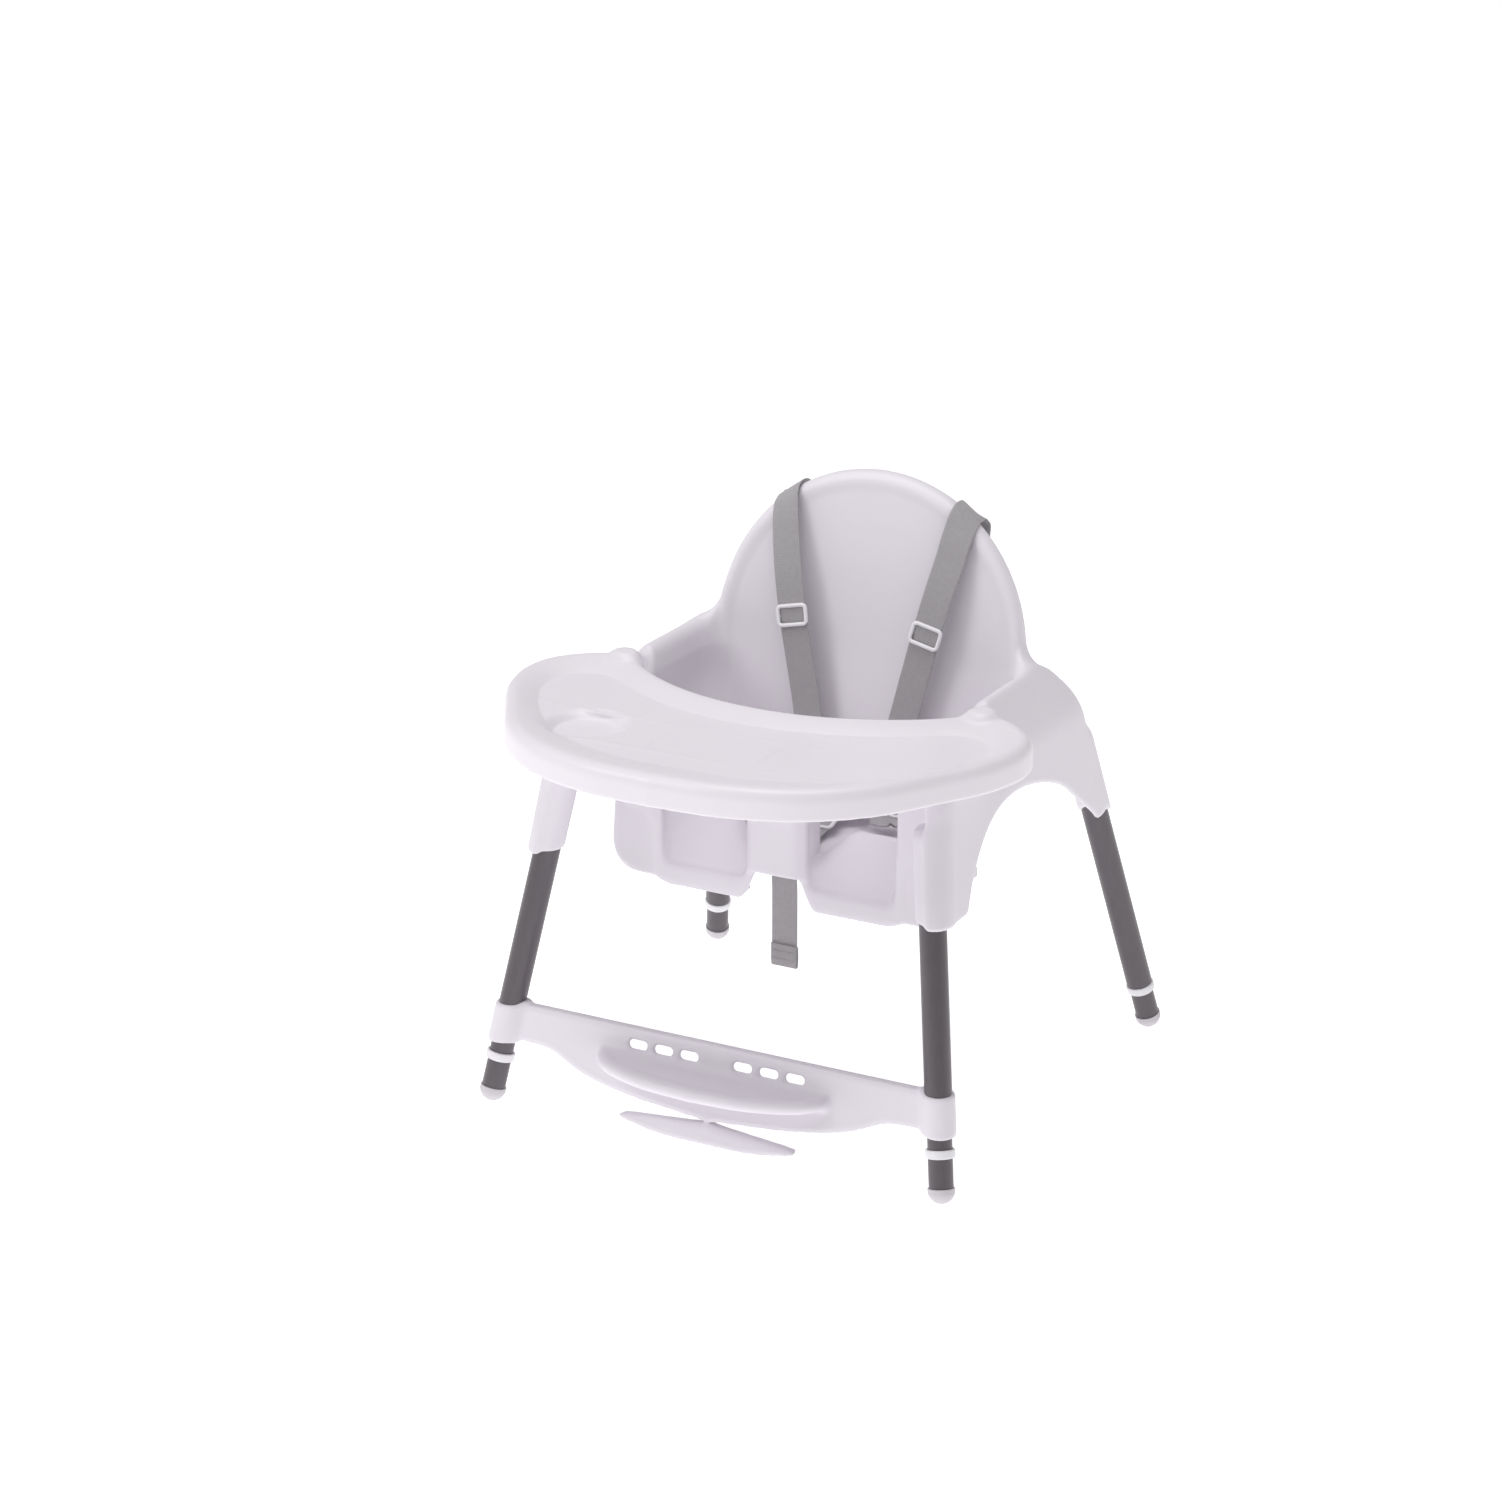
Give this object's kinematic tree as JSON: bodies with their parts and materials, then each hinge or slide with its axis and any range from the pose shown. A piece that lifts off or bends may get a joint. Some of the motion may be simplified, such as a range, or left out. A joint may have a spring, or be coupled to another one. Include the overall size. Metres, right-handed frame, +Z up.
{
  "type": "baby high chair",
  "caption": "Low-form baby high chair: moulded seat with arms, slide-off dished tray, splayed tube legs, footrest and webbing harness.",
  "frame": {"origin": "centre of the footprint, on the floor", "axes": "+Z up; the chair faces -Y; +X is the seated child's left; symmetric about X = 0"},
  "size_m": [0.574, 0.6453, 0.627],
  "materials": {
    "shell_white": "satin moulded polypropylene",
    "tray_white": "satin moulded polypropylene",
    "footrest_white": "fine-grained moulded polypropylene",
    "catch_white": "moulded plastic",
    "tube_grey": "powder-coated steel tube",
    "ring_white": "moulded plastic",
    "cap_grey": "soft pale rubber",
    "button_dark": "moulded plastic",
    "steel": "zinc-plated steel",
    "webbing": "woven polypropylene webbing",
    "slide_white": "moulded acetal",
    "buckle_white": "moulded acetal",
    "button_grey": "moulded acetal"
  },
  "bodies": {
    "chair": {"buckle_body": "buckle_white", "buckle_tongue_left": "buckle_white", "buckle_tongue_right": "buckle_white", "crotch_slide": "slide_white", "crotch_strap": "webbing", "foot_cap_front_left": "cap_grey", "foot_cap_front_right": "cap_grey", "foot_cap_rear_left": "cap_grey", "foot_cap_rear_right": "cap_grey", "foot_tube_front_left": "tube_grey", "foot_tube_front_right": "tube_grey", "foot_tube_rear_left": "tube_grey", "foot_tube_rear_right": "tube_grey", "footrest": "footrest_white", "footrest_screws": "steel", "harness_strap_left": "webbing", "harness_strap_right": "webbing", "leg_ring_front_left": "ring_white", "leg_ring_front_right": "ring_white", "leg_ring_rear_left": "ring_white", "leg_ring_rear_right": "ring_white", "leg_tube_front_left": "tube_grey", "leg_tube_front_right": "tube_grey", "leg_tube_rear_left": "tube_grey", "leg_tube_rear_right": "tube_grey", "seat_shell": "shell_white", "shoulder_slide_left": "slide_white", "shoulder_slide_right": "slide_white", "socket_screws": "steel", "waist_slide_left": "slide_white", "waist_slide_right": "slide_white"},
    "tray": {"tray": "tray_white"},
    "catch_left": {"tray_catch_left": "catch_white"},
    "catch_right": {"tray_catch_right": "catch_white"},
    "snap_front_left": {"snap_button_front_left": "button_dark", "snap_spring_front_left": "steel"},
    "snap_front_right": {"snap_button_front_right": "button_dark", "snap_spring_front_right": "steel"},
    "snap_rear_left": {"snap_button_rear_left": "button_dark", "snap_spring_rear_left": "steel"},
    "snap_rear_right": {"snap_button_rear_right": "button_dark", "snap_spring_rear_right": "steel"},
    "buckle_button": {"buckle_button": "button_grey"}
  },
  "joints": [
    {"name": "tray_slide", "type": "slide", "parent": "chair", "child": "tray", "axis": [0, -1, 0], "range_m": [0, 0.18]},
    {"name": "catch_left_pull", "type": "slide", "parent": "tray", "child": "catch_left", "axis": [1, 0, 0], "range_m": [0, 0.005], "stiffness_N_per_m": 800, "springref_m": -0.002},
    {"name": "catch_right_pull", "type": "slide", "parent": "tray", "child": "catch_right", "axis": [-1, 0, 0], "range_m": [0, 0.005], "stiffness_N_per_m": 800, "springref_m": -0.002},
    {"name": "snap_front_left_press", "type": "slide", "parent": "chair", "child": "snap_front_left", "axis": [-0.0302, -0.9799, 0.1972], "range_m": [0, 0.004], "stiffness_N_per_m": 1500, "springref_m": -0.001},
    {"name": "snap_front_right_press", "type": "slide", "parent": "chair", "child": "snap_front_right", "axis": [0.0302, -0.9799, 0.1972], "range_m": [0, 0.004], "stiffness_N_per_m": 1500, "springref_m": -0.001},
    {"name": "snap_rear_left_press", "type": "slide", "parent": "chair", "child": "snap_rear_left", "axis": [0.0416, -0.9673, -0.2504], "range_m": [0, 0.004], "stiffness_N_per_m": 1500, "springref_m": -0.001},
    {"name": "snap_rear_right_press", "type": "slide", "parent": "chair", "child": "snap_rear_right", "axis": [-0.0416, -0.9673, -0.2504], "range_m": [0, 0.004], "stiffness_N_per_m": 1500, "springref_m": -0.001},
    {"name": "buckle_button_press", "type": "slide", "parent": "chair", "child": "buckle_button", "axis": [0, 0, -1], "range_m": [0, 0.0025], "stiffness_N_per_m": 1500, "springref_m": -0.001}
  ]
}
